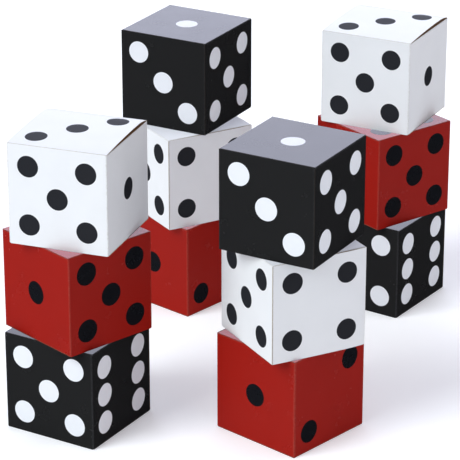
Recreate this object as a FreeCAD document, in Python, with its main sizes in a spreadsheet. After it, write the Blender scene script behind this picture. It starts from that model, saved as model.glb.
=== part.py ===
import FreeCAD, Part

import os

import Sketcher
from FreeCAD import Placement, Rotation, Vector

# Twelve giant yard dice, standing in four stacks of three.
#
# Each die is a cube-shaped carton folded from one sheet of printed board: a sleeve of four walls
# with a tuck end at each mouth. A tuck end is an end panel creased to one wall, a tuck flap that
# slips in behind the opposite wall, and two dust flaps under the panel.
#
# A carton is drawn in its own frame, with its origin at the middle of the cube:
#   +X is the 5 face and -X the 2 face, +Y the 1 and -Y the 6, +Z the 3 and -Z the 4.
# Both end panels are creased to the 2 wall and tucked behind the 5 wall.
#
# The row's origin is the middle of the underside of the bottom die at the front left. +Z is up,
# +X runs from the left stacks to the right ones, and +Y from the front stacks to the back ones.

# Driving dimensions: alias, value in millimetres or degrees, meaning.
BOARD_SIZES = [
    ("side", 300.0, "edge of one die over its printed faces"),
    ("board", 1.5, "thickness of the fluted board"),
    ("corner", 3.0, "outer radius of the sleeve's four folded corners"),
    ("ply_gap", 0.2, "gap between boards that lie on each other"),
    ("free_edge", 0.75, "inset of an end panel's two free edges"),
    ("tuck_gap", 1.0, "gap between a tuck flap and the 5 wall"),
    ("tuck_length", 50.0, "depth of a tuck flap"),
    ("tuck_side", 4.0, "gap beside a tuck flap"),
    ("tuck_chamfer", 18.0, "cut at a tuck flap's two lower corners"),
    ("dust_length", 110.0, "depth of a dust flap"),
    ("dust_back", 2.5, "gap between a dust flap and the 2 wall"),
    ("dust_front", 12.0, "gap between a dust flap and the tuck flap"),
    ("dust_taper", 25.0, "how much a dust flap narrows at each end"),
    ("crest", 0.78, "place of a panel's highest line, as a share of its way from the 5 to the 2 wall"),
    ("top_crown", 10.0, "rise of a panel that closes the top of a stack"),
    ("side_crown", 5.0, "rise of a side panel in the middle of a stack"),
    ("door_crown", 2.0, "rise of a side panel at the top of a stack"),
    ("flat_crown", 0.0, "rise of a panel that lies under or on another die"),
]

# Each stack: where its bottom die stands, the turn of each die about +Z from the bottom one up,
# and the shift of the middle and the top die on the one below. Millimetres and degrees.
STACKS = {
    "front_left": {
        "stands_at": (0.0, 0.0),
        "turns": (-31.0, -48.0, -20.0),
        "shifts": ((5.0, -10.0), (10.0, -5.0)),
    },
    "front_right": {
        "stands_at": (615.0, -45.0),
        "turns": (-43.0, -62.0, -30.0),
        "shifts": ((5.0, -25.0), (-5.0, -25.0)),
    },
    "back_right": {
        "stands_at": (930.0, 915.0),
        "turns": (-34.0, -52.0, -27.0),
        "shifts": ((0.0, 10.0), (0.0, 40.0)),
    },
    "back_left": {
        "stands_at": (295.0, 930.0),
        "turns": (-42.0, -60.0, -29.0),
        "shifts": ((10.0, -10.0), (0.0, 45.0)),
    },
}
LEVELS = ("bottom", "middle", "top")

# Where a carton's own +X and +Y axes point in its stack before the die is turned, named by the
# faces that it then shows on top, at the left front (-Y) and at the right front (+X).
LEFT = Vector(0, -1, 0)
RIGHT = Vector(1, 0, 0)
UP = Vector(0, 0, 1)
SHOWS_3_5_1 = (LEFT, RIGHT)
SHOWS_4_1_5 = (RIGHT, LEFT)
SHOWS_4_5_6 = (LEFT, -RIGHT)
SHOWS_1_3_5 = (RIGHT, UP)
SHOWS_1_5_4 = (LEFT, UP)
SHOWS_3_1_2 = (-RIGHT, LEFT)

# Each die: how it lies, the end that works as its lid, that lid's crown, and whether the stack
# leaves the lid free to open.
DICE = {
    ("left", "bottom"): (SHOWS_4_5_6, "four", "flat_crown", False),
    ("left", "middle"): (SHOWS_4_1_5, "four", "flat_crown", False),
    ("left", "top"): (SHOWS_3_5_1, "three", "top_crown", True),
    ("right", "bottom"): (SHOWS_3_1_2, "three", "flat_crown", False),
    ("right", "middle"): (SHOWS_1_5_4, "four", "side_crown", True),
    ("right", "top"): (SHOWS_1_3_5, "three", "door_crown", True),
}
# The back right stack repeats the front left one, and the back left stack the front right one.
PATTERN = {"front_left": "left", "back_right": "left", "front_right": "right", "back_left": "right"}

# Derived lengths, as expressions on the sheet's aliases.
HALF = "(Sizes.side / 2)"
INNER = "(Sizes.side / 2 - Sizes.board)"
WALL_TOP = "(Sizes.side / 2 - Sizes.board - Sizes.ply_gap)"
LIP_TOP = "(Sizes.side / 2 - Sizes.ply_gap)"
PANEL_END = "(Sizes.side / 2 - Sizes.board - Sizes.tuck_gap)"
PANEL_HALF = "(Sizes.side / 2 - Sizes.free_edge)"
TUCK_BACK = f"({PANEL_END} - Sizes.board)"
TUCK_HALF = "(Sizes.side / 2 - Sizes.board - Sizes.tuck_side)"
CREST_X = f"({PANEL_END} - Sizes.crest * ({HALF} + {PANEL_END}))"

MATCH = 0.001  # mm, how closely an edge has to lie at a place to be taken as the edge meant

doc = FreeCAD.newDocument("YardDice")
sheet = doc.addObject("Spreadsheet::Sheet", "Sizes")


def fill_sheet():
    """Writes every driving dimension to column B, with its meaning in A and its alias on B."""
    rows = list(BOARD_SIZES)
    for stack, values in STACKS.items():
        across, back = values["stands_at"]
        rows.append((f"{stack}_x", across, "middle of the bottom die, across"))
        rows.append((f"{stack}_y", back, "middle of the bottom die, from front to back"))
        for level, turn in zip(LEVELS, values["turns"]):
            rows.append((f"{stack}_{level}_turn", turn, "turn about the vertical"))
        for level, (across, back) in zip(LEVELS[1:], values["shifts"]):
            rows.append((f"{stack}_{level}_over_x", across, "shift on the die below, across"))
            rows.append((f"{stack}_{level}_over_y", back, "shift on the die below, to the back"))
    for number, (alias, value, meaning) in enumerate(rows, start=1):
        sheet.set(f"A{number}", meaning)
        sheet.set(f"B{number}", str(value))
        sheet.setAlias(f"B{number}", alias)
    doc.recompute()


def value_of(expression):
    """The number that an expression on the sheet's aliases has now."""
    return float(sheet.evalExpression(expression.replace("Sizes.", "")))


def new_sketch(body, plane, offset=None):
    """A sketch on one of the body's own origin planes, raised along its normal by an expression."""
    sketch = body.newObject("Sketcher::SketchObject", "Sketch")
    origin_plane = next(item for item in body.Origin.OriginFeatures if item.Role == plane)
    sketch.AttachmentSupport = [(origin_plane, "")]
    sketch.MapMode = "FlatFace"
    if offset:
        sketch.setExpression(".AttachmentOffset.Base.z", offset)
    return sketch


def pin_point(sketch, geometry, end, across, along):
    """Fixes one point of a sketch by expressions for its distances from the sketch's origin."""
    for kind, expression in (("DistanceX", across), ("DistanceY", along)):
        constraint = Sketcher.Constraint(kind, -1, 1, geometry, end, value_of(expression))
        index = sketch.addConstraint(constraint)
        sketch.setExpression(f"Constraints[{index}]", expression)


def draw_outline(sketch, corners):
    """Draws a closed outline of straight edges through corners given as pairs of expressions."""
    points = [Vector(value_of(across), value_of(along), 0) for across, along in corners]
    first = sketch.GeometryCount
    count = len(points)
    for place in range(count):
        sketch.addGeometry(Part.LineSegment(points[place], points[(place + 1) % count]))
    for place in range(count):
        following = first + (place + 1) % count
        sketch.addConstraint(Sketcher.Constraint("Coincident", first + place, 2, following, 1))
    for place, (across, along) in enumerate(corners):
        pin_point(sketch, first + place, 1, across, along)


def draw_rectangle(sketch, low, high):
    """Draws a rectangle between two opposite corners."""
    draw_outline(sketch, [(low[0], low[1]), (high[0], low[1]), (high[0], high[1]), (low[0], high[1])])


def add_pad(body, sketch, length, both_ways=False):
    """Pads a sketch by an expression, along its normal or evenly to both sides of it."""
    pad = body.newObject("PartDesign::Pad", "Pad")
    pad.Profile = sketch
    pad.setExpression("Length", length)
    pad.Midplane = both_ways
    body.Tip = pad
    return pad


def upright_edges(shape, half_width):
    """Names of the edges along Z at the four corners of a square of this half width."""
    names = []
    for number, edge in enumerate(shape.Edges, start=1):
        box = edge.BoundBox
        upright = max(box.XLength, box.YLength) < MATCH
        off_corner = max(abs(abs(box.XMin) - half_width), abs(abs(box.YMin) - half_width))
        if upright and off_corner < MATCH:
            names.append(f"Edge{number}")
    return names


def round_corners(body, half_width, radius):
    """Rounds the four upright corners of the body at this half width."""
    doc.recompute()
    base = body.Tip
    fillet = body.newObject("PartDesign::Fillet", "Fillet")
    fillet.Base = (base, upright_edges(base.Shape, value_of(half_width)))
    fillet.setExpression("Radius", radius)
    body.Tip = fillet


def new_body(label, placement):
    body = doc.addObject("PartDesign::Body", "Body")
    body.Label = label
    body.Placement = placement
    return body


def make_sleeve(label, placement):
    """Four walls folded from one sheet. The 5 wall stands a board higher, to cover the tucked edge."""
    body = new_body(label, placement)
    ring = new_sketch(body, "XY_Plane")
    draw_rectangle(ring, (f"-{HALF}", f"-{HALF}"), (HALF, HALF))
    draw_rectangle(ring, (f"-{INNER}", f"-{INNER}"), (INNER, INNER))
    add_pad(body, ring, f"2 * {WALL_TOP}", both_ways=True)
    round_corners(body, HALF, "Sizes.corner")
    round_corners(body, INNER, "Sizes.corner - Sizes.board")
    lip = new_sketch(body, "XY_Plane")
    lip_end = f"({HALF} - Sizes.corner)"
    draw_rectangle(lip, (INNER, f"-{lip_end}"), (HALF, lip_end))
    add_pad(body, lip, f"2 * {LIP_TOP}", both_ways=True)
    return body


def crown_arc(sketch, crown, depth, x_end):
    """Draws the arc from a panel's edge at x_end to its crest, at a depth below the panel's face.

    The arc is level at the crest, so its middle is straight below. With a the distance from edge
    to crest along X and h the rise, its radius is (a * a + h * h) / (2 * h).
    """
    edge_z = f"({HALF} - {depth})"
    crest_z = f"({HALF} + Sizes.{crown} - {depth})"
    run = value_of(x_end) - value_of(CREST_X)
    rise = value_of(f"Sizes.{crown}")
    radius = (run * run + rise * rise) / (2 * rise)
    middle = Vector(value_of(CREST_X), value_of(crest_z) - radius, 0)
    edge = Vector(value_of(x_end), value_of(edge_z), 0)
    crest = Vector(value_of(CREST_X), value_of(crest_z), 0)
    to_crest = run > 0
    start, stop = (edge, crest) if to_crest else (crest, edge)
    angles = [Vector(1, 0, 0).getAngle(point - middle) for point in (start, stop)]
    circle = Part.Circle(middle, Vector(0, 0, 1), radius)
    arc = sketch.addGeometry(Part.ArcOfCircle(circle, *angles))
    edge_point, crest_point = (1, 2) if to_crest else (2, 1)
    pin_point(sketch, arc, edge_point, x_end, edge_z)
    pin_point(sketch, arc, crest_point, CREST_X, crest_z)
    centre = sketch.addConstraint(Sketcher.Constraint("DistanceX", -1, 1, arc, 3, middle.x))
    sketch.setExpression(f"Constraints[{centre}]", CREST_X)
    return arc, edge_point


def make_panel(label, placement, crown):
    """The end panel, from its crease at the 2 wall to its fold behind the 5 wall, flat or crowned."""
    body = new_body(label, placement)
    profile = new_sketch(body, "XZ_Plane")
    crease = f"-{HALF}"
    if value_of(f"Sizes.{crown}") == 0:
        draw_rectangle(profile, (crease, INNER), (PANEL_END, HALF))
    else:
        for x_end in (crease, PANEL_END):
            upper, upper_end = crown_arc(profile, crown, depth="0", x_end=x_end)
            lower, lower_end = crown_arc(profile, crown, depth="Sizes.board", x_end=x_end)
            ends = [profile.getPoint(upper, upper_end), profile.getPoint(lower, lower_end)]
            edge = profile.addGeometry(Part.LineSegment(*ends))
            profile.addConstraint(Sketcher.Constraint("Coincident", edge, 1, upper, upper_end))
            profile.addConstraint(Sketcher.Constraint("Coincident", edge, 2, lower, lower_end))
    add_pad(body, profile, f"2 * {PANEL_HALF}", both_ways=True)
    return body


def make_tuck_flap(label, placement):
    """The flap that hangs from the panel's fold behind the 5 wall, with its lower corners cut."""
    body = new_body(label, placement)
    outline = new_sketch(body, "YZ_Plane", TUCK_BACK)
    tip = f"({WALL_TOP} - Sizes.tuck_length)"
    cut_z = f"({WALL_TOP} - Sizes.tuck_length + Sizes.tuck_chamfer)"
    cut_y = f"({TUCK_HALF} - Sizes.tuck_chamfer)"
    corners = [(f"-{TUCK_HALF}", WALL_TOP), (f"-{TUCK_HALF}", cut_z), (f"-{cut_y}", tip)]
    corners += [(cut_y, tip), (TUCK_HALF, cut_z), (TUCK_HALF, WALL_TOP)]
    draw_outline(outline, corners)
    add_pad(body, outline, "Sizes.board")
    return body


def make_dust_flap(label, placement, side):
    """A tapered flap under the panel, hinged at its +Y edge (side "") or at its -Y edge (side "-")."""
    body = new_body(label, placement)
    outline = new_sketch(body, "XY_Plane", f"{WALL_TOP} - Sizes.board")
    back = f"(Sizes.dust_back - {INNER})"
    front = f"({TUCK_BACK} - Sizes.dust_front)"
    crease = f"{side}{WALL_TOP}"
    tip = f"{side}({WALL_TOP} - Sizes.dust_length)"
    corners = [(back, crease), (front, crease)]
    corners += [(f"{front} - Sizes.dust_taper", tip), (f"{back} + Sizes.dust_taper", tip)]
    draw_outline(outline, corners)
    add_pad(body, outline, "Sizes.board")
    return body


def make_group(label, pieces):
    """One sub-part of several separate boards that never move against each other."""
    group = doc.addObject("Part::Compound", "Group")
    group.Label = label
    group.Links = pieces
    return group


def end_placement(end):
    """The 3 end is drawn in place. The 4 end is the same, turned half round about the 5-2 axis."""
    return Placement(Vector(), Rotation(Vector(1, 0, 0), 0 if end == "three" else 180))


def flap_walls(end):
    """The walls that an end's dust flaps are hinged at, in the order of their drawn sides.

    The half turn of the 4 end brings the flap that is drawn at the 1 wall to the 6 wall.
    """
    return ("1", "6") if end == "three" else ("6", "1")


def make_end(label, placement, end, crown):
    """A closed tuck end's four boards: panel, tuck flap and the dust flaps on the 1 and 6 walls."""
    there = placement * end_placement(end)
    panel = make_panel(f"{label}_panel", there, crown)
    tuck_flap = make_tuck_flap(f"{label}_tuck", there)
    dust_flaps = []
    for wall, side in zip(flap_walls(end), ("", "-")):
        dust_flaps.append(make_dust_flap(f"{label}_dust_{wall}", there, side))
    return panel, tuck_flap, dust_flaps


def die_placement(stack, level):
    """Where a die's middle is in its stack, and how it is turned."""
    number = LEVELS.index(level)
    middle_height = (number + 0.5) * value_of("side")
    middle = Vector(value_of(f"{stack}_x"), value_of(f"{stack}_y"), middle_height)
    for lower in LEVELS[1 : number + 1]:
        middle += Vector(value_of(f"{stack}_{lower}_over_x"), value_of(f"{stack}_{lower}_over_y"), 0)
    x_axis, y_axis = DICE[PATTERN[stack], level][0]
    faces = Rotation(x_axis, y_axis, x_axis.cross(y_axis), "XYZ")
    turn = Rotation(UP, value_of(f"{stack}_{level}_turn"))
    return Placement(middle, turn * faces)


def make_die(stack, level):
    """One carton's sub-parts. A lid that can open is four sub-parts, and one that can't is two."""
    name = f"{stack}_{level}"
    lid_end, crown, opens = DICE[PATTERN[stack], level][1:]
    base_end = "four" if lid_end == "three" else "three"
    there = die_placement(stack, level)
    sleeve = make_sleeve(f"{name}_sleeve", there)
    base_panel, base_tuck, base_flaps = make_end(f"{name}_base_end", there, base_end, "flat_crown")
    base = make_group(f"{name}_base", [base_panel, base_tuck, *base_flaps])
    panel, tuck_flap, dust_flaps = make_end(f"{name}_lid_end", there, lid_end, crown)
    if not opens:
        lid = make_group(f"{name}_lid", [panel, tuck_flap])
        return [sleeve, lid, make_group(f"{name}_dust_flaps", dust_flaps), base]
    panel.Label = f"{name}_lid"
    tuck_flap.Label = f"{name}_lid_tuck"
    for flap, wall in zip(dust_flaps, flap_walls(lid_end)):
        flap.Label = f"{name}_dust_flap_{wall}"
    return [sleeve, panel, tuck_flap, *dust_flaps, base]


def check_document(sub_parts):
    """Stops if an object of the document failed, or a sub-part has no valid shape."""
    for item in doc.Objects:
        if "Invalid" in item.State or "Error" in item.State:
            raise RuntimeError(f"{item.Name} ({item.Label}) failed: {item.State}")
    for sub_part in sub_parts:
        if sub_part.Shape.isNull() or not sub_part.Shape.isValid():
            raise RuntimeError(f"{sub_part.Label} has no valid shape")


def write_parts(sub_parts):
    os.makedirs("parts", exist_ok=True)
    for sub_part in sub_parts:
        sub_part.Shape.exportStep(f"parts/{sub_part.Label}.step")


def main():
    fill_sheet()
    sub_parts = []
    for stack in STACKS:
        for level in LEVELS:
            sub_parts += make_die(stack, level)
    doc.recompute()
    check_document(sub_parts)
    write_parts(sub_parts)
    print(len(sub_parts), "sub-parts,", sum(len(item.Shape.Solids) for item in sub_parts), "solids")


main()
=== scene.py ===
import math

import bmesh
import bpy
import numpy as np
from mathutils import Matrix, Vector


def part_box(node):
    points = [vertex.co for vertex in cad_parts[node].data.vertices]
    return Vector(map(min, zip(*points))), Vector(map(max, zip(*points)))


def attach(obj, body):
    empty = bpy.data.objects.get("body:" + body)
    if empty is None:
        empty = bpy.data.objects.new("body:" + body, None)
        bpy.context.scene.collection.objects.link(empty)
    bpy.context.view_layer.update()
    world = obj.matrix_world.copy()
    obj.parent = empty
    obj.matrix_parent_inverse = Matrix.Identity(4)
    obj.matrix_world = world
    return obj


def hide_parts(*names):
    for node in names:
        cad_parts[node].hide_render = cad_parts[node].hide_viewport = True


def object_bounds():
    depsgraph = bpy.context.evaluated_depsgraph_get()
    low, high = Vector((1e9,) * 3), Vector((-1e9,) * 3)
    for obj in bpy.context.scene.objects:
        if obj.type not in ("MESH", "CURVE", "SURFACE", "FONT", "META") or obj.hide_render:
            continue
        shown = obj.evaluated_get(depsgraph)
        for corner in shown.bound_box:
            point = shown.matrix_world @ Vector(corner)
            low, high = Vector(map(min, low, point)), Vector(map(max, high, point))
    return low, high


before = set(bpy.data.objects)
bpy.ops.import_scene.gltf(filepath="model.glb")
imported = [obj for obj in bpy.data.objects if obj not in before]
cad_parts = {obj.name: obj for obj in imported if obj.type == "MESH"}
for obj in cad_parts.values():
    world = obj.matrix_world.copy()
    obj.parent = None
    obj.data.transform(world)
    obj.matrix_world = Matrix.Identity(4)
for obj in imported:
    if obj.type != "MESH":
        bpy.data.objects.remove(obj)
cad_low, cad_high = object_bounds()

# Twelve giant dice, each one a carton folded from printed fluted board. Lengths are in metres.
# A carton's own axes run from its middle: +X to the 5 face, +Y to the 1 face and +Z to the 3 face.
# The 3 and 4 faces are end panels, creased to the 2 wall and tucked in behind the 5 wall.

MM = 0.001
BOARD = 1.5 * MM  # thickness of the fluted board
FOLD = 1.3 * MM  # outer radius of a creased fold
CORNER = 3.0 * MM  # outer radius of the sleeve's corners
PLY_GAP = 0.2 * MM  # between boards that lie on each other
RAW_GAP = 0.3 * MM  # gap at the sleeve's glued seam
BOW = 0.7 * MM  # how far a free wall swells at its middle
SEAM_TAB = 34 * MM  # width of the sleeve's glue tab
TAB_FOLD = 2.0 * MM  # outer radius of the glue tab's fold
SEAM_TAB_SHORT = 9 * MM  # how far the tab stays back from each mouth
SEAM_TAB_SLANT = 6 * MM  # how much further it stays back at its free edge
FREE_EDGE = 0.75 * MM  # inset of an end panel's free edges
TUCK_GAP = 1.0 * MM  # between a tuck flap and the 5 wall
TUCK_DEPTH = 50.0 * MM
TUCK_SIDE = 4.0 * MM  # gap beside a tuck flap
TUCK_ROUND = 18.0 * MM  # radius of its two lower corners
DUST_DEPTH = 110.0 * MM
DUST_GAP_BACK = 2.5 * MM  # between a dust flap and the 2 wall
DUST_GAP_FRONT = 12.0 * MM  # between a dust flap and the tuck flap
DUST_TAPER = 25.0 * MM  # how much a dust flap narrows at each end
PIP_OFFSET = 0.29  # from a face's middle to a pip's middle, as a share of the side
PIP_WIDTH = {"white": 0.213, "red": 0.23, "black": 0.23}
INK = 0.12 * MM  # how far an ink disc stands on the film
FLUTE_PITCH = 3.2 * MM
WEAR_AND_HIGHLIGHT_REACH = 2.0 * MM  # how far the rubbed ink on a crease spreads, and on red and black the painted highlight with it
FILM_IOR = 1.5  # plastic film and dried ink
PAPER_IOR = 1.45
SMUDGE = 0.02  # how far the film's roughness wanders either way
SMUDGE_SIZE = 80 * MM
INK_CLOUD = 100 * MM
PEEL_SIZE = 2.5 * MM
PEEL_RELIEF = {"Strength": 0.08, "Distance": 0.2 * MM}
FLUTE_SHOWS = 0.12  # height of a flute's line in the film, as a share of the orange peel
CRACK_SIZE = 4 * MM
KRAFT_FIBRE = 1.4 * MM
KRAFT_CLOUD = 25 * MM
EDGE_FIBRE = 1.1 * MM
WAVE_HEIGHT = 0.3  # the medium's wave, as a share of the board's thickness either way
MEDIUM_HALF = 0.13  # half the medium's thickness on the cut, in the same shares
LINER_FROM = 0.34  # where the liners begin, from the middle, in the same shares
WELD = 0.002 * MM  # points closer than this are one point
SHARP = math.radians(50)  # edges that turn by more than this stay sharp

# The faces that each die shows on top, at its left front and at its right front, and its colour.
DICE = {
    ("left", "bottom"): ((4, 5, 6), "black"),
    ("left", "middle"): ((4, 1, 5), "red"),
    ("left", "top"): ((3, 5, 1), "white"),
    ("right", "bottom"): ((3, 1, 2), "red"),
    ("right", "middle"): ((1, 5, 4), "white"),
    ("right", "top"): ((1, 3, 5), "black"),
}
PATTERN = {"front_left": "left", "back_right": "left", "front_right": "right", "back_left": "right"}
LEVELS = ("bottom", "middle", "top")

# Carton axis and side of it for each face.
FACE_AXIS = {5: (0, 1), 2: (0, -1), 1: (1, 1), 6: (1, -1), 3: (2, 1), 4: (2, -1)}
# Pips of each face, in pip offsets along the face's two carton axes, taken in X, Y, Z order.
PIPS = {
    1: [(0, 0)],
    2: [(-1, 1), (1, -1)],
    3: [(1, -1), (0, 0), (-1, 1)],
    4: [(-1, -1), (-1, 1), (1, -1), (1, 1)],
    5: [(-1, -1), (-1, 1), (1, -1), (1, 1), (0, 0)],
    6: [(column, row) for column in (-1, 1) for row in (-1, 0, 1)],
}


# ---------------------------------------------------------------- materials

def linear(hex_colour):
    """An sRGB hex colour as linear RGBA."""
    values = [int(hex_colour[place : place + 2], 16) / 255 for place in (1, 3, 5)]
    values = [v / 12.92 if v <= 0.04045 else ((v + 0.055) / 1.055) ** 2.4 for v in values]
    return (*values, 1.0)


def add(tree, kind, inputs=None, **settings):
    """Adds a node, gives it its settings, and sets or links its inputs by name or number."""
    node = tree.nodes.new(kind)
    for name, value in settings.items():
        setattr(node, name, value)
    for name, value in (inputs or {}).items():
        if isinstance(value, bpy.types.NodeSocket):
            tree.links.new(value, node.inputs[name])
        else:
            node.inputs[name].default_value = value
    return node


def new_material(name):
    material = bpy.data.materials.new(name)
    material.use_nodes = True
    tree = material.node_tree
    tree.nodes.clear()
    return material, tree


def finish_material(tree, shader):
    add(tree, "ShaderNodeOutputMaterial", {"Surface": shader.outputs[0]})


def film_roughness(tree, place, base, spread):
    """Roughness that wanders about its base by finger marks and stacking rub, some 8 cm across."""
    smudge = add(tree, "ShaderNodeTexNoise", {
        "Vector": place, "Scale": 1 / SMUDGE_SIZE, "Detail": 5.0, "Roughness": 0.6})
    return add(tree, "ShaderNodeMapRange", {
        "Value": smudge.outputs["Fac"], "From Min": 0.3, "From Max": 0.7,
        "To Min": base - spread, "To Max": base + spread}).outputs[0]


def ink_tone(tree, place, ink):
    """The ink's colour, a few percent thinner or fuller in clouds about 10 cm across."""
    density = add(tree, "ShaderNodeTexNoise", {"Vector": place, "Scale": 1 / INK_CLOUD, "Detail": 4.0})
    tone = add(tree, "ShaderNodeMapRange", {
        "Value": density.outputs["Fac"], "From Min": 0.3, "From Max": 0.7,
        "To Min": 0.98, "To Max": 1.01})
    return add(tree, "ShaderNodeVectorMath", {
        0: linear(ink)[:3], "Scale": tone.outputs[0]}, operation="SCALE").outputs[0]


def flute_wave(tree, place):
    """A sine along the sheet's own X, one turn for each flute, and the split place it came from."""
    split = add(tree, "ShaderNodeSeparateXYZ", {"Vector": place})
    turns = add(tree, "ShaderNodeMath", {
        0: split.outputs["X"], 1: math.tau / FLUTE_PITCH}, operation="MULTIPLY")
    return add(tree, "ShaderNodeMath", {0: turns.outputs[0]}, operation="SINE").outputs[0], split


def orange_peel(tree, place):
    """Fine waviness of the film."""
    peel = add(tree, "ShaderNodeTexNoise", {"Vector": place, "Scale": 1 / PEEL_SIZE, "Detail": 2.0})
    return peel.outputs["Fac"]


def film_bump(tree, place, sheet_place):
    """Relief of the laminated face: the flutes' lines showing through, and the film's orange peel."""
    flutes = flute_wave(tree, sheet_place)[0]
    height = add(tree, "ShaderNodeMath", {
        0: flutes, 1: FLUTE_SHOWS, 2: orange_peel(tree, place)}, operation="MULTIPLY_ADD")
    return add(tree, "ShaderNodeBump", {"Height": height.outputs[0], **PEEL_RELIEF}).outputs[0]


def printed_board(name, ink, worn_and_highlight, roughness, gloss):
    """White-lined fluted board, offset printed in one ink and laminated with a satin film.

    The eye sees an even colour with a soft sheen that grows towards a low angle, faint lines of
    the flutes, and creases where the ink has cracked and rubbed. On red and black that is paler and
    also paints the highlight a rounded fold catches. On white it is a little darker.
    """
    material, tree = new_material(name)
    place = add(tree, "ShaderNodeTexCoord").outputs["Object"]
    sheet_place = add(tree, "ShaderNodeUVMap", uv_map="sheet").outputs[0]
    crease = add(tree, "ShaderNodeAttribute", attribute_name="wear_and_highlight").outputs["Fac"]
    cracks = add(tree, "ShaderNodeTexNoise", {
        "Vector": place, "Scale": 1 / CRACK_SIZE, "Detail": 3.0, "Roughness": 0.7})
    rubbed = add(tree, "ShaderNodeMapRange", {
        "Value": cracks.outputs["Fac"], "From Min": 0.42, "From Max": 0.66,
        "To Min": 0.1, "To Max": 0.8})
    # Crease mark: rubbed ink along the folds. On red and black it is paler and also a painted
    # highlight of the rounded fold. On white it rubs a little darker.
    worn_and_highlight_share = add(tree, "ShaderNodeMath", {0: crease, 1: rubbed.outputs[0]}, operation="MULTIPLY")
    colour = add(tree, "ShaderNodeMix", {
        0: worn_and_highlight_share.outputs[0], 6: ink_tone(tree, place, ink), 7: linear(worn_and_highlight)}, data_type="RGBA")
    shader = add(tree, "ShaderNodeBsdfPrincipled", {
        "Base Color": colour.outputs[2],
        "Roughness": film_roughness(tree, place, roughness, SMUDGE),
        "IOR": FILM_IOR,
        "Specular IOR Level": gloss,
        "Normal": film_bump(tree, place, sheet_place)})
    finish_material(tree, shader)
    return material


def pip_ink(name, ink, roughness, gloss):
    """A pip: a solid spot of ink, or of bare white liner.

    The eye sees a flat round spot with a crisp rim. The black ink is duller than the film.
    """
    material, tree = new_material(name)
    place = add(tree, "ShaderNodeTexCoord").outputs["Object"]
    bump = add(tree, "ShaderNodeBump", {"Height": orange_peel(tree, place), **PEEL_RELIEF})
    shader = add(tree, "ShaderNodeBsdfPrincipled", {
        "Base Color": ink_tone(tree, place, ink),
        "Roughness": film_roughness(tree, place, roughness, SMUDGE),
        "IOR": FILM_IOR,
        "Specular IOR Level": gloss,
        "Normal": bump.outputs[0]})
    finish_material(tree, shader)
    return material


def kraft_liner():
    """The board's unprinted inside: brown kraft paper, matt, with fibres along the sheet."""
    material, tree = new_material("kraft_paper_liner")
    place = add(tree, "ShaderNodeTexCoord").outputs["Object"]
    stretched = add(tree, "ShaderNodeMapping", {"Vector": place, "Scale": (1.0, 1.0, 0.16)})
    fibres = add(tree, "ShaderNodeTexNoise", {
        "Vector": stretched.outputs[0], "Scale": 1 / KRAFT_FIBRE, "Detail": 4.0, "Roughness": 0.7})
    clouds = add(tree, "ShaderNodeTexNoise", {
        "Vector": place, "Scale": 1 / KRAFT_CLOUD, "Detail": 4.0})
    blend = add(tree, "ShaderNodeMix", {0: 0.2, 2: fibres.outputs["Fac"], 3: clouds.outputs["Fac"]})
    colour = add(tree, "ShaderNodeValToRGB", {"Fac": blend.outputs[0]})
    paint_ramp(colour, (0.25, "#694727"), (0.75, "#8f673b"))
    bump = add(tree, "ShaderNodeBump", {
        "Height": fibres.outputs["Fac"], "Strength": 0.25, "Distance": 0.1 * MM})
    shader = add(tree, "ShaderNodeBsdfPrincipled", {
        "Base Color": colour.outputs[0], "Roughness": 0.88, "IOR": PAPER_IOR,
        "Normal": bump.outputs[0]})
    finish_material(tree, shader)
    return material


def paint_ramp(ramp_node, low_stop, high_stop):
    """Sets a ramp's two stops, each given as its position and its sRGB hex colour."""
    for stop, (position, hex_colour) in zip(ramp_node.color_ramp.elements, (low_stop, high_stop)):
        stop.position = position
        stop.color = linear(hex_colour)


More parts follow.
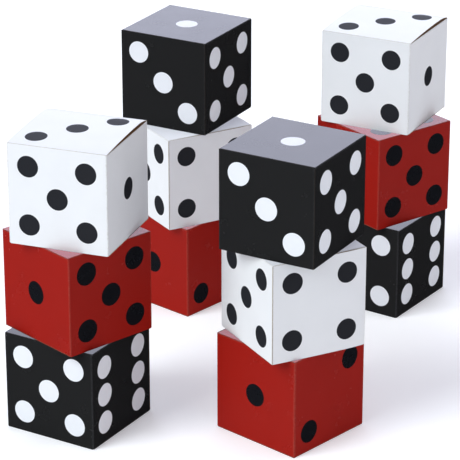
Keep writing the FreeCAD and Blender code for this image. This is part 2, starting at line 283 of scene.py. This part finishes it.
def cut_board_edge(name, dark_paper, pale_paper, flute_hollow_shade):
    """A die-cut edge of fluted board: two thin liners with the wave of the medium between them.

    The edge's own UV runs along it in metres and across it from 0 to 1. The wave is where the
    distance across is close to a sine of the distance along. What it leaves is painted shade: a
    flat dark colour for the shadowed hollows of the flutes. The ink bleeds over the cut, so the
    paper's tone leans to the board's print.
    """
    material, tree = new_material(name)
    sine, split = flute_wave(tree, add(tree, "ShaderNodeUVMap", uv_map="sheet").outputs[0])
    across = split.outputs["Y"]
    wave = add(tree, "ShaderNodeMath", {0: sine, 1: WAVE_HEIGHT, 2: 0.5}, operation="MULTIPLY_ADD")
    off_wave = add(tree, "ShaderNodeMath", {0: across, 1: wave.outputs[0]}, operation="SUBTRACT")
    from_wave = add(tree, "ShaderNodeMath", {0: off_wave.outputs[0]}, operation="ABSOLUTE")
    off_middle = add(tree, "ShaderNodeMath", {0: across, 1: 0.5}, operation="SUBTRACT")
    from_middle = add(tree, "ShaderNodeMath", {0: off_middle.outputs[0]}, operation="ABSOLUTE")
    in_medium = add(tree, "ShaderNodeMath", {
        0: from_wave.outputs[0], 1: MEDIUM_HALF}, operation="LESS_THAN")
    in_liner = add(tree, "ShaderNodeMath", {
        0: from_middle.outputs[0], 1: LINER_FROM}, operation="GREATER_THAN")
    paper = add(tree, "ShaderNodeMath", {
        0: in_medium.outputs[0], 1: in_liner.outputs[0]}, operation="MAXIMUM")
    place = add(tree, "ShaderNodeTexCoord").outputs["Object"]
    fibre = add(tree, "ShaderNodeTexNoise", {"Vector": place, "Scale": 1 / EDGE_FIBRE, "Detail": 3.0})
    kraft = add(tree, "ShaderNodeValToRGB", {"Fac": fibre.outputs["Fac"]})
    paint_ramp(kraft, (0.3, dark_paper), (0.7, pale_paper))
    # Between the paper, the flutes' hollows get a flat dark colour: painted shade, not the board's own
    # colour.
    colour = add(tree, "ShaderNodeMix", {
        0: paper.outputs[0], 6: linear(flute_hollow_shade), 7: kraft.outputs[0]}, data_type="RGBA")
    bump = add(tree, "ShaderNodeBump", {
        "Height": paper.outputs[0], "Strength": 0.6, "Distance": 0.3 * MM})
    shader = add(tree, "ShaderNodeBsdfPrincipled", {
        "Base Color": colour.outputs[2], "Roughness": 0.9, "IOR": PAPER_IOR,
        "Normal": bump.outputs[0]})
    finish_material(tree, shader)
    return material


# A board's print: its ink, the colour its creases rub to, which on red and black is also a painted
# highlight along the folds, and its film's roughness and specular level.
PRINTED = {
    "white": printed_board("satin_film_on_white_board", "#e7e8e8", "#d2cec8", 0.42, 0.35),
    "red": printed_board("satin_film_on_red_board", "#991910", "#a5463a", 0.26, 0.3),
    "black": printed_board("satin_film_on_black_board", "#222222", "#404042", 0.26, 0.4),
}
# A board's cut edge: its paper at the darkest and the palest, and the painted shade in the hollows of
# its flutes.
EDGES = {
    "white": cut_board_edge("white_board_cut_edge", "#c2b094", "#e8dcc8", "#94805f"),
    "red": cut_board_edge("red_board_cut_edge", "#6e3424", "#a4644c", "#3c1c14"),
    "black": cut_board_edge("black_board_cut_edge", "#2e2822", "#4c443c", "#181512"),
}
PIP_INK = {
    "white": pip_ink("matt_black_ink_on_white", "#27282c", 0.6, 0.15),
    "red": pip_ink("satin_black_ink_on_red", "#15161a", 0.27, 0.3),
    "black": pip_ink("bare_white_liner_on_black", "#e4e6e9", 0.42, 0.3),
}
KRAFT = kraft_liner()


# ---------------------------------------------------------------- where each carton is

# The top die at the front right has its end panels at its sides, so its sleeve is as high as a die.
low_die, high_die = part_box("front_right_top_sleeve")
SIDE = high_die.z - low_die.z
LID_IS_3 = {("left", "top"), ("right", "bottom"), ("right", "top")}
FLUSH = 0.01  # largest upward part of an upright face's direction


def die_turn(sleeve):
    """A sleeve's turn about the vertical, between -90 and 0 degrees, in radians.

    It is the area-weighted mean of the directions of its upright faces. Four times each direction
    is averaged, so that all four walls of a square agree.
    """
    mesh = sleeve.data
    count = len(mesh.polygons)
    normals, areas = np.zeros(count * 3), np.zeros(count)
    mesh.polygons.foreach_get("normal", normals)
    mesh.polygons.foreach_get("area", areas)
    normals = normals.reshape(-1, 3)
    upright = np.abs(normals[:, 2]) < FLUSH
    directions = np.arctan2(normals[upright, 1], normals[upright, 0])
    mean = np.angle(np.sum(areas[upright] * np.exp(4j * directions))) / 4
    return (mean % (math.pi / 2)) - math.pi / 2


def carton_axes(shown, turn):
    """A 3 by 3 array whose columns are the carton's axes in the row's frame."""
    cos, sin = math.cos(turn), math.sin(turn)
    up, left, right = (0, 0, 1), (sin, -cos, 0), (cos, sin, 0)
    axes = np.zeros((3, 3))
    for face, direction in zip(shown, (up, left, right)):
        axis, side = FACE_AXIS[face]
        axes[:, axis] = side * np.array(direction, float)
    return axes


def read_die(stack, level):
    """One die, from its CAD sleeve: where it is, how it is turned and which end is its lid."""
    name = f"{stack}_{level}"
    shown, colour = DICE[PATTERN[stack], level]
    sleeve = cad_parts[f"{name}_sleeve"]
    low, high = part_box(f"{name}_sleeve")
    return {
        "name": name,
        "colour": colour,
        "shown": shown,
        "middle": np.array((low + high) / 2),
        "half": SIDE / 2,
        "axes": carton_axes(shown, die_turn(sleeve)),
        "lid": 3 if (PATTERN[stack], level) in LID_IS_3 else 4,
        "opens": f"{name}_lid_tuck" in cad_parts,
    }


def own_points(die, node):
    """A CAD node's vertices along the carton's own axes, from the carton's middle."""
    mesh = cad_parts[node].data
    points = np.zeros(len(mesh.vertices) * 3)
    mesh.vertices.foreach_get("co", points)
    return (points.reshape(-1, 3) - die["middle"]) @ die["axes"]


# ---------------------------------------------------------------- boards as grids

FOLD_STEPS = np.radians([0, 18, 36, 54, 72, 90])  # the quarter circle of a creased fold


def grid_quads(rows, columns):
    """Quads between neighbouring points of a grid, each as four point numbers."""
    first = (np.arange(rows - 1)[:, None] * columns + np.arange(columns - 1)[None, :]).ravel()
    return np.stack([first, first + 1, first + columns + 1, first + columns], axis=1)


def edge_uv(points):
    """UV of a cut edge given as 2 rows of points: metres along it, and 0 or 1 across it."""
    along = distance_along(points[0])
    return np.stack([np.stack([along, np.full_like(along, row)], axis=1) for row in (0.0, 1.0)])


def board_sheet(outer, inner, place, wear_and_highlight, flip=False, printed=True):
    """A board as six grids: its printed face, its kraft face and its four cut edges.

    outer and inner are grids of points on its two faces, place is the sheet UV in metres, and
    wear is 1 on a crease and 0 away from it. Columns must run left of rows, seen from outside,
    unless flip says the other way.
    """
    none = np.zeros(wear_and_highlight.shape)
    patches = [(outer, place, wear_and_highlight, 0 if printed else 1, flip), (inner, place, none, 1, not flip)]
    borders = [
        (outer[0], inner[0], not flip), (outer[-1], inner[-1], flip),
        (outer[:, 0], inner[:, 0], flip), (outer[:, -1], inner[:, -1], not flip),
    ]
    for outer_line, inner_line, turned in borders:
        points = np.stack([outer_line, inner_line])
        patches.append((points, edge_uv(points), np.zeros(points.shape[:2]), 2, not turned))
    return patches


def build_mesh(name, patches, die, materials):
    """Joins grids into one closed mesh in the row's frame, with its UV, wear and sharp edges."""
    points, quads, places, wears, slots = [], [], [], [], []
    count = 0
    for grid, place, wear_and_highlight, slot, flip in patches:
        rows, columns = grid.shape[:2]
        faces = grid_quads(rows, columns) + count
        points.append(grid.reshape(-1, 3))
        places.append(place.reshape(-1, 2))
        wears.append(wear_and_highlight.ravel())
        quads.append(faces[:, ::-1] if flip else faces)
        slots.append(np.full(len(faces), slot))
        count += rows * columns
    points = np.concatenate(points) @ die["axes"].T + die["middle"]
    quads = np.concatenate(quads)
    mesh = bpy.data.meshes.new(name)
    mesh.from_pydata(points.tolist(), [], quads.tolist())
    mesh.polygons.foreach_set("material_index", np.concatenate(slots).astype(np.int32))
    corner_points = np.zeros(len(mesh.loops), np.int32)
    mesh.loops.foreach_get("vertex_index", corner_points)
    corner_places = np.concatenate(places)[corner_points]
    mesh.uv_layers.new(name="sheet").data.foreach_set("uv", corner_places.ravel())
    mesh.attributes.new("wear_and_highlight", "FLOAT", "POINT").data.foreach_set("value", np.concatenate(wears))
    editable = bmesh.new()
    editable.from_mesh(mesh)
    bmesh.ops.remove_doubles(editable, verts=editable.verts, dist=WELD)
    bmesh.ops.dissolve_degenerate(editable, edges=editable.edges, dist=WELD / 2)
    editable.to_mesh(mesh)
    editable.free()
    mesh.shade_smooth()
    mesh.set_sharp_from_angle(angle=SHARP)
    for material in materials:
        mesh.materials.append(material)
    piece = bpy.data.objects.new(name, mesh)
    piece.visible_glossy = False
    bpy.context.scene.collection.objects.link(piece)
    return piece


def board_piece(die, name, sheets, body, *nodes):
    """A piece made of boards, which stands for CAD nodes and rides on their body."""
    materials = [PRINTED[die["colour"]], KRAFT, EDGES[die["colour"]]]
    piece = build_mesh(name, [patch for sheet in sheets for patch in sheet], die, materials)
    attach(piece, body)
    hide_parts(*nodes)


def spaced(start, end, count, close):
    """Numbers from start to end, with extra ones at these distances from both ends."""
    even = np.linspace(start, end, count)
    near = [value for reach in close for value in (start + reach, end - reach)]
    return np.unique(np.round(np.concatenate([even, near]), 7))


# ---------------------------------------------------------------- sleeve

def wall_bow(die, face):
    """A wall that another die presses on stays flat, and the others swell a little."""
    return 0.0 if face in (die["shown"][0], 7 - die["shown"][0]) else BOW


def swell(half, across, along, bow):
    """Swell of a wall: full in the middle, nothing at its creases, and little near its mouths.

    It is bow (1 - a squared) (1 - b to the fourth), with a and b the distances across and along
    the wall from its middle, in half sides.
    """
    a, b = np.clip(across / half, -1, 1), np.clip(along / half, -1, 1)
    return bow * (1 - a**2) * (1 - b**4)


def fold_arc(centre, start_angle, radius, steps=6):
    """Points and outward directions on a quarter circle, turning anticlockwise from start_angle."""
    angles = start_angle + np.linspace(0, math.pi / 2, steps)
    outward = np.stack([np.cos(angles), np.sin(angles)], axis=1)
    return np.array(centre) + radius * outward, outward


def sleeve_path(half):
    """The sleeve's outer line, seen from the 3 end, anticlockwise from its glue tab to its raw end.

    Each point comes with its outward direction, its face number, or 0 on a corner and -1 on the
    tab, and its distance across its face from the face's middle.
    """
    lines = []

    def straight(start, end, outward, face, marks):
        start, end = np.array(start), np.array(end)
        length = np.linalg.norm(end - start)
        along = marks / marks[-1] * length
        points = start + np.outer(along / length, end - start)
        across = along - length / 2
        lines.append((points, np.tile(outward, (len(points), 1)), np.full(len(points), face), across))

    def corner(centre, start_angle, radius):
        points, outward = fold_arc(centre, start_angle, radius)
        lines.append((points, outward, np.zeros(len(points)), np.full(len(points), half)))

    near = [0.7 * MM, 1.5 * MM, WEAR_AND_HIGHLIGHT_REACH, 6 * MM]
    wall = spaced(0.0, 2 * (half - CORNER), 15, near)
    inside = half - BOARD - RAW_GAP
    tab = spaced(0.0, SEAM_TAB - TAB_FOLD, 6, near)
    straight((-inside, -half + SEAM_TAB), (-inside, -half + TAB_FOLD), (-1, 0), -1, tab)
    corner((-inside + TAB_FOLD, -half + TAB_FOLD), math.pi, TAB_FOLD)
    first_wall = spaced(0.0, half - CORNER + inside - TAB_FOLD, 15, near)
    straight((-inside + TAB_FOLD, -half), (half - CORNER, -half), (0, -1), 6, first_wall)
    corner((half - CORNER, -half + CORNER), -math.pi / 2, CORNER)
    straight((half, -half + CORNER), (half, half - CORNER), (1, 0), 5, wall)
    corner((half - CORNER, half - CORNER), 0.0, CORNER)
    straight((half - CORNER, half), (-half + CORNER, half), (0, 1), 1, wall)
    corner((-half + CORNER, half - CORNER), math.pi / 2, CORNER)
    last_wall = spaced(0.0, 2 * half - CORNER, 15, near)
    straight((-half, half - CORNER), (-half, -half), (-1, 0), 2, last_wall)
    points, outward, face, across = (np.concatenate(part) for part in zip(*lines))
    keep = np.concatenate([[True], np.linalg.norm(np.diff(points, axis=0), axis=1) > WELD / 2])
    return points[keep], outward[keep], face[keep], across[keep]


def distance_along(points):
    """Each point's distance along a line from its first point."""
    return np.concatenate([[0.0], np.cumsum(np.linalg.norm(np.diff(points, axis=0), axis=1))])


def make_sleeve(die):
    """Four walls and a glue tab, carried along the sleeve's path from one mouth to the other.

    At a mouth the 1, 2 and 6 walls turn in over a quarter circle, where their flaps are creased
    on. The 5 wall ends in a cut edge, a board higher than the others.
    """
    half = die["half"]
    line, outward, face, across = sleeve_path(half)
    count = len(line)
    folded = np.isin(face, (0, 1, 2, 6)).astype(float)
    top = np.where(face == 5, half - PLY_GAP, half - BOARD - PLY_GAP)
    on_tab = face == -1
    tab_depth = np.abs(line[:, 1] + half) / SEAM_TAB
    top = np.where(on_tab, half - SEAM_TAB_SHORT - SEAM_TAB_SLANT * tab_depth, top)
    rows = spaced(-1.0, 1.0, 13, [WEAR_AND_HIGHLIGHT_REACH / half, 2 * WEAR_AND_HIGHLIGHT_REACH / half])[1:-1]
    sheet_at = distance_along(line)
    faces_bow = {number: wall_bow(die, number) for number in (1, 2, 5, 6)}
    bow = np.array([faces_bow.get(int(number), 0.0) for number in face])

    def ring(level, inset):
        """The sleeve's outer points at a height given per path point, moved in by inset."""
        out = swell(half, across, level, bow) - inset
        flat = line + outward * out[:, None]
        return np.concatenate([flat, level[:, None]], axis=1)

    heights, insets, creases = [], [], []
    for angle in FOLD_STEPS[::-1]:
        heights.append(-(top - FOLD + FOLD * math.sin(angle)))
        insets.append(folded * FOLD * (1 - math.cos(angle)))
        creases.append(folded)
    for share in rows:
        level = share * (top - FOLD)
        heights.append(level)
        insets.append(np.zeros(count))
        to_fold = top - FOLD - np.abs(level)
        creases.append(folded * np.clip(1 - to_fold / WEAR_AND_HIGHLIGHT_REACH, 0, 1))
    for angle in FOLD_STEPS:
        heights.append(top - FOLD + FOLD * math.sin(angle))
        insets.append(folded * FOLD * (1 - math.cos(angle)))
        creases.append(folded)
    outer = np.stack([ring(level, inset) for level, inset in zip(heights, insets)])
    inner = np.stack([ring(level, np.full(count, BOARD)) for level in heights])
    place = np.stack([np.stack([sheet_at, level], axis=1) for level in heights])
    # Crease mask for the print: rubbed ink on the folds and corners. On red and black it also paints
    # the highlight a rounded fold catches.
    to_crease = np.where(face > 0, half - CORNER - np.abs(across), 0.0)
    side_wear_and_highlight = np.where(on_tab, 0.0, np.clip(1 - to_crease / WEAR_AND_HIGHLIGHT_REACH, 0, 1))
    wear_and_highlight = np.maximum(np.stack(creases), side_wear_and_highlight[None, :])
    sheet = board_sheet(outer, inner, place, wear_and_highlight)
    name = die["name"]
    board_piece(die, f"{name}_printed_sleeve", [sheet], name, f"{name}_sleeve")


# ---------------------------------------------------------------- end panels and flaps

def crown_height(x, low_end, high_end, crest, crown):
    """Height of a crowned panel above its edges: an arc each side of the crest, level at the crest.

    For a run a from crest to edge and a rise h, the arc's radius R is (a squared + h squared) / 2h,
    and the height is h - R + the root of (R squared - the distance from the crest squared).
    """
    if crown < 0.01 * MM:
        return np.zeros_like(x)
    run = np.where(x > crest, high_end - crest, crest - low_end)
    radius = (run**2 + crown**2) / (2 * crown)
    return crown - radius + np.sqrt(np.maximum(radius**2 - (x - crest) ** 2, 0))


def end_shape(die, node):
    """A CAD panel's edges, crest and crown, along the carton's axes, for the end that node closes."""
    points = own_points(die, node)
    side = 1.0 if points[:, 2].mean() > 0 else -1.0
    height = side * points[:, 2]
    crown = height.max() - die["half"]
    plate = points[height > die["half"] - 2 * BOARD]
    crest = plate[np.argmax(side * plate[:, 2]), 0]
    return {"side": side, "low": plate[:, 0].min(), "high": PANEL_END, "crest": crest, "crown": crown}


PANEL_END = SIDE / 2 - BOARD - TUCK_GAP
DUST_BACK = DUST_GAP_BACK - (SIDE / 2 - BOARD)
DUST_FRONT = PANEL_END - BOARD - DUST_GAP_FRONT


def turned_end(points, side):
    """The 3 end as drawn, or for side -1 the same turned half round about X, which makes the 4 end."""
    return points * np.array([1.0, side, side])


def panel_sheet(die, shape):
    """The end panel: folded down a board's thickness at its crease and at its tuck fold."""
    half = die["half"]
    reach = FOLD * (1 - np.cos(FOLD_STEPS))
    drop = FOLD * (1 - np.sin(FOLD_STEPS))
    middle = spaced(shape["low"] + FOLD, shape["high"] - FOLD, 37, [2 * MM, 5 * MM])[1:-1]
    x = np.concatenate([shape["low"] + reach, middle, (shape["high"] - reach)[::-1]])
    down = np.concatenate([drop, np.zeros(len(middle)), drop[::-1]])
    arch = crown_height(x, shape["low"], shape["high"], shape["crest"], shape["crown"])
    y = spaced(-half + FREE_EDGE, half - FREE_EDGE, 13, [2 * MM, 5 * MM])
    grid_x, grid_y = np.meshgrid(x, y, indexing="ij")
    top = np.repeat((half + arch - down)[:, None], len(y), axis=1)
    under = np.repeat((half + arch - BOARD)[:, None], len(y), axis=1)
    outer = np.stack([grid_x, grid_y, top], axis=2)
    inner = np.stack([grid_x, grid_y, under], axis=2)
    place = np.stack([grid_y, grid_x], axis=2)
    # Crease mask for the print: rubbed ink at the panel's folds. On red and black it also paints the
    # highlight a rounded fold catches.
    from_fold = np.minimum(grid_x - shape["low"], shape["high"] - grid_x)
    wear_and_highlight = np.clip(1 - (from_fold - FOLD) / WEAR_AND_HIGHLIGHT_REACH, 0, 1)
    outer, inner = turned_end(outer, shape["side"]), turned_end(inner, shape["side"])
    return board_sheet(outer, inner, place, wear_and_highlight)


def tuck_sheet(die, side):
    """The tuck flap, hanging behind the 5 wall, its lower corners rounded by a quarter circle."""
    half = die["half"]
    top = half - BOARD - PLY_GAP
    width = half - BOARD - TUCK_SIDE
    angles = np.radians([0, 15, 30, 45, 60, 75, 90])
    straight = TUCK_DEPTH - TUCK_ROUND
    down = np.concatenate([[0.0, straight / 3], straight + TUCK_ROUND * np.sin(angles)])
    narrow = np.concatenate([[0.0, 0.0], TUCK_ROUND * (1 - np.cos(angles))])
    share = np.linspace(-1, 1, 15)
    grid_y = np.outer(width - narrow, share)
    grid_z = np.repeat((top - down)[:, None], len(share), axis=1)
    front = np.full(grid_y.shape, PANEL_END)
    outer = np.stack([front, grid_y, grid_z], axis=2)
    inner = np.stack([front - BOARD, grid_y, grid_z], axis=2)
    place = np.stack([grid_y, grid_z], axis=2)
    wear_and_highlight = np.zeros(grid_y.shape)
    outer, inner = turned_end(outer, side), turned_end(inner, side)
    return board_sheet(outer, inner, place, wear_and_highlight)


def dust_sheet(die, side, wall):
    """A dust flap under the panel, hinged at the 1 or the 6 wall and tapered to its free edge.

    It is drawn at the 3 end. Turning that end over to be the 4 end swaps the two walls.
    """
    top = die["half"] - BOARD - PLY_GAP
    hinge = side if wall == 1 else -side
    shares = np.linspace(0, 1, 9)
    columns = np.linspace(0, 1, 13)
    left = DUST_BACK + DUST_TAPER * shares
    right = DUST_FRONT - DUST_TAPER * shares
    grid_x = left[:, None] + (right - left)[:, None] * columns[None, :]
    grid_y = np.repeat((hinge * (top - DUST_DEPTH * shares))[:, None], len(columns), axis=1)
    level = np.full(grid_x.shape, top)
    outer = np.stack([grid_x, grid_y, level], axis=2)
    inner = np.stack([grid_x, grid_y, level - BOARD], axis=2)
    place = np.stack([grid_x, grid_y], axis=2)
    rub = np.clip(1 - DUST_DEPTH * shares / WEAR_AND_HIGHLIGHT_REACH, 0, 1)
    wear_and_highlight = np.repeat(rub[:, None], len(columns), axis=1)
    outer, inner = turned_end(outer, side), turned_end(inner, side)
    return board_sheet(outer, inner, place, wear_and_highlight, hinge > 0, printed=False)


def make_end(die, face):
    """One end's boards, as a single base piece or as the pieces of a lid that opens."""
    name = die["name"]
    is_lid = face == die["lid"]
    shape = end_shape(die, f"{name}_lid" if is_lid else f"{name}_base")
    panel = panel_sheet(die, shape)
    tuck = tuck_sheet(die, shape["side"])
    dust = {wall: dust_sheet(die, shape["side"], wall) for wall in (1, 6)}
    if is_lid and die["opens"]:
        board_piece(die, f"{name}_printed_lid", [panel], f"{name}_lid", f"{name}_lid")
        board_piece(die, f"{name}_printed_tuck_flap", [tuck], f"{name}_lid_tuck", f"{name}_lid_tuck")
        for wall, sheet in dust.items():
            flap = f"{name}_dust_flap_{wall}"
            board_piece(die, f"{name}_printed_dust_flap_{wall}", [sheet], flap, flap)
    elif is_lid:
        nodes = [f"{name}_lid", f"{name}_dust_flaps"]
        board_piece(die, f"{name}_printed_lid", [panel, tuck, *dust.values()], name, *nodes)
    else:
        sheets = [panel, tuck, *dust.values()]
        board_piece(die, f"{name}_printed_base", sheets, name, f"{name}_base")
    return shape


# ---------------------------------------------------------------- pips

def face_point(die, face, first, second, shapes, lift):
    """Points on a face, from their distances along its two in-plane axes, lifted off the board."""
    axis, side = FACE_AXIS[face]
    others = [number for number in range(3) if number != axis]
    if face in shapes:
        shape = shapes[face]
        rise = crown_height(first, shape["low"], shape["high"], shape["crest"], shape["crown"])
    else:
        rise = swell(die["half"], first, second, wall_bow(die, face))
    points = np.zeros((*first.shape, 3))
    points[..., axis] = side * (die["half"] + rise + lift)
    points[..., others[0]] = first
    points[..., others[1]] = second
    return points


def pip_patch(die, face, spot, shapes):
    """One pip: a disc of ink that follows its face, closed underneath just below the film.

    Its points lie on circles about the pip's middle. Their lift is the ink's thickness as far as
    the rim, then falls to just below the surface, where the last circle closes at the middle.
    """
    radius = PIP_WIDTH[die["colour"]] * SIDE / 2
    shares = np.array([0.0, 0.25, 0.5, 0.75, 0.92, 0.985, 1.0, 0.5, 0.0])
    lifts = INK * np.array([1.0, 1.0, 1.0, 1.0, 1.0, 0.8, -0.3, -0.3, -0.3])
    angles = np.linspace(0, 2 * math.pi, 65)
    first = spot[0] * PIP_OFFSET * SIDE + radius * np.outer(shares, np.cos(angles))
    second = spot[1] * PIP_OFFSET * SIDE + radius * np.outer(shares, np.sin(angles))
    lift = np.repeat(lifts[:, None], len(angles), axis=1)
    points = face_point(die, face, first, second, shapes, lift)
    axis, side = FACE_AXIS[face]
    # Turning from the first in-plane axis to the second is clockwise only when seen along Y.
    inward = (side < 0) != (axis == 1)
    place = np.stack([first, second], axis=2)
    return points, place, np.zeros(first.shape), 0, not inward


def make_pips(die, faces, shapes, body, label):
    """The ink discs of some of a die's faces, as one piece that rides on a body."""
    patches = [pip_patch(die, face, spot, shapes) for face in faces for spot in PIPS[face]]
    piece = build_mesh(f"{die['name']}_{label}", patches, die, [PIP_INK[die["colour"]]])
    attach(piece, body)


def make_die(stack, level):
    """One carton: its sleeve, its two ends, and its pips, those of an opening lid on their own."""
    die = read_die(stack, level)
    make_sleeve(die)
    shapes = {face: make_end(die, face) for face in (3, 4)}
    fixed = [face for face in PIPS if not (die["opens"] and face == die["lid"])]
    make_pips(die, fixed, shapes, die["name"], "pips")
    if die["opens"]:
        make_pips(die, [die["lid"]], shapes, f"{die['name']}_lid", "lid_pips")


for stack in PATTERN:
    for level in LEVELS:
        make_die(stack, level)


# ---------------------------------------------------------------- studio and camera

CENTRE = (cad_low + cad_high) / 2
FLOOR_REACH = 60.0
FLOOR_GLOW = 0.25
HORIZON_LEVEL = 0.10
ZENITH_LEVEL = 0.52
GROUND_SHINE = 0.1  # what the ground sends up, as a share of the sky
BANK_LEVEL = 2.7
BANK_HEIGHT = math.radians(22)
BANK_DIRECTION = (0.0, math.cos(BANK_HEIGHT), math.sin(BANK_HEIGHT))
CAMERA_FROM_CENTRE = Vector((-0.0255, -7.1696, 2.914))
CAMERA_PITCH = math.radians(22.38)
CAMERA_LENS = 200.5


def add_stage():
    """A plain pale floor that fills every view."""
    mesh = bpy.data.meshes.new("studio_floor")
    corners = [(x * FLOOR_REACH, y * FLOOR_REACH, 0) for x, y in ((-1, -1), (1, -1), (1, 1), (-1, 1))]
    mesh.from_pydata(corners, [], [(0, 1, 2, 3)])
    floor = bpy.data.objects.new("studio_floor", mesh)
    bpy.context.scene.collection.objects.link(floor)
    material, tree = new_material("matt_white_floor_paint")
    place = add(tree, "ShaderNodeTexCoord").outputs["Object"]
    grain = add(tree, "ShaderNodeTexNoise", {"Vector": place, "Scale": 2.0, "Detail": 3.0})
    tone = add(tree, "ShaderNodeMapRange", {
        "Value": grain.outputs["Fac"], "To Min": 0.93, "To Max": 0.97})
    shader = add(tree, "ShaderNodeBsdfPrincipled", {
        "Base Color": tone.outputs[0], "Roughness": 0.95, "Specular IOR Level": 0.1,
        "Emission Color": linear("#ffffff"), "Emission Strength": FLOOR_GLOW})
    finish_material(tree, shader)
    mesh.materials.append(material)
    floor.visible_glossy = False


def add_light(name, azimuth, elevation, strength, spread, colour):
    """A broad soft light from far off, at an angle left of the camera and above the floor.

    It lights the paint only. What shines in the film is the sky and its bright bank.
    """
    light = bpy.data.lights.new(name, "SUN")
    light.energy = strength
    light.angle = math.radians(spread)
    light.color = colour
    lamp = bpy.data.objects.new(name, light)
    across, up = math.radians(azimuth), math.radians(elevation)
    flat = Vector((-math.sin(across), -math.cos(across), 0)) * math.cos(up)
    towards = flat + Vector((0, 0, math.sin(up)))
    lamp.rotation_euler = towards.to_track_quat("Z", "Y").to_euler()
    lamp.location = CENTRE + towards * 5.0
    lamp.visible_glossy = False
    bpy.context.scene.collection.objects.link(lamp)


def add_sky():
    """White to the camera. As light, a sky that grows brighter upwards, over dark ground.

    A bright bank low at the back shines in the film of the top faces.
    """
    world = bpy.data.worlds.new("studio")
    bpy.context.scene.world = world
    world.use_nodes = True
    tree = world.node_tree
    tree.nodes.clear()
    direction = add(tree, "ShaderNodeTexCoord").outputs["Generated"]
    height = add(tree, "ShaderNodeSeparateXYZ", {"Vector": direction})
    above = add(tree, "ShaderNodeMapRange", {
        "Value": height.outputs["Z"], "From Min": -0.02, "From Max": 0.02,
        "To Min": GROUND_SHINE, "To Max": 1.0})
    facing = add(tree, "ShaderNodeVectorMath", {
        0: direction, 1: BANK_DIRECTION}, operation="DOT_PRODUCT")
    bank = add(tree, "ShaderNodeMapRange", {
        "Value": facing.outputs["Value"], "From Min": 0.84, "From Max": 0.96,
        "To Min": 0.0, "To Max": BANK_LEVEL}, interpolation_type="SMOOTHSTEP")
    dome = add(tree, "ShaderNodeMapRange", {
        "Value": height.outputs["Z"], "To Min": HORIZON_LEVEL, "To Max": ZENITH_LEVEL})
    lit = add(tree, "ShaderNodeMath", {0: dome.outputs[0], 1: bank.outputs[0]}, operation="ADD")
    level = add(tree, "ShaderNodeMath", {0: above.outputs[0], 1: lit.outputs[0]}, operation="MULTIPLY")
    sky = add(tree, "ShaderNodeBackground", {"Color": linear("#e6e9ff"), "Strength": level.outputs[0]})
    shown = add(tree, "ShaderNodeBackground", {"Color": linear("#ffffff"), "Strength": 1.0})
    is_camera = add(tree, "ShaderNodeLightPath").outputs["Is Camera Ray"]
    mixed = add(tree, "ShaderNodeMixShader", {0: is_camera, 1: sky.outputs[0], 2: shown.outputs[0]})
    add(tree, "ShaderNodeOutputWorld", {"Surface": mixed.outputs[0]})


def add_camera():
    """A long lens in front of the stacks, looking down on them, level along +Y."""
    camera = bpy.data.cameras.new("camera")
    camera.sensor_width = 36.0
    camera.lens = CAMERA_LENS
    camera.clip_end = 100.0
    viewer = bpy.data.objects.new("camera", camera)
    viewer.location = CENTRE + CAMERA_FROM_CENTRE
    viewer.rotation_euler = (math.pi / 2 - CAMERA_PITCH, 0, 0)
    bpy.context.scene.collection.objects.link(viewer)
    bpy.context.scene.camera = viewer


add_stage()
add_sky()
add_light("key", azimuth=58, elevation=38, strength=2.45, spread=35, colour=(0.92, 0.98, 1.0))
add_light("fill", azimuth=-78, elevation=32, strength=0.75, spread=60, colour=(1.0, 0.96, 0.95))
add_camera()
bpy.context.scene.view_settings.view_transform = "Standard"
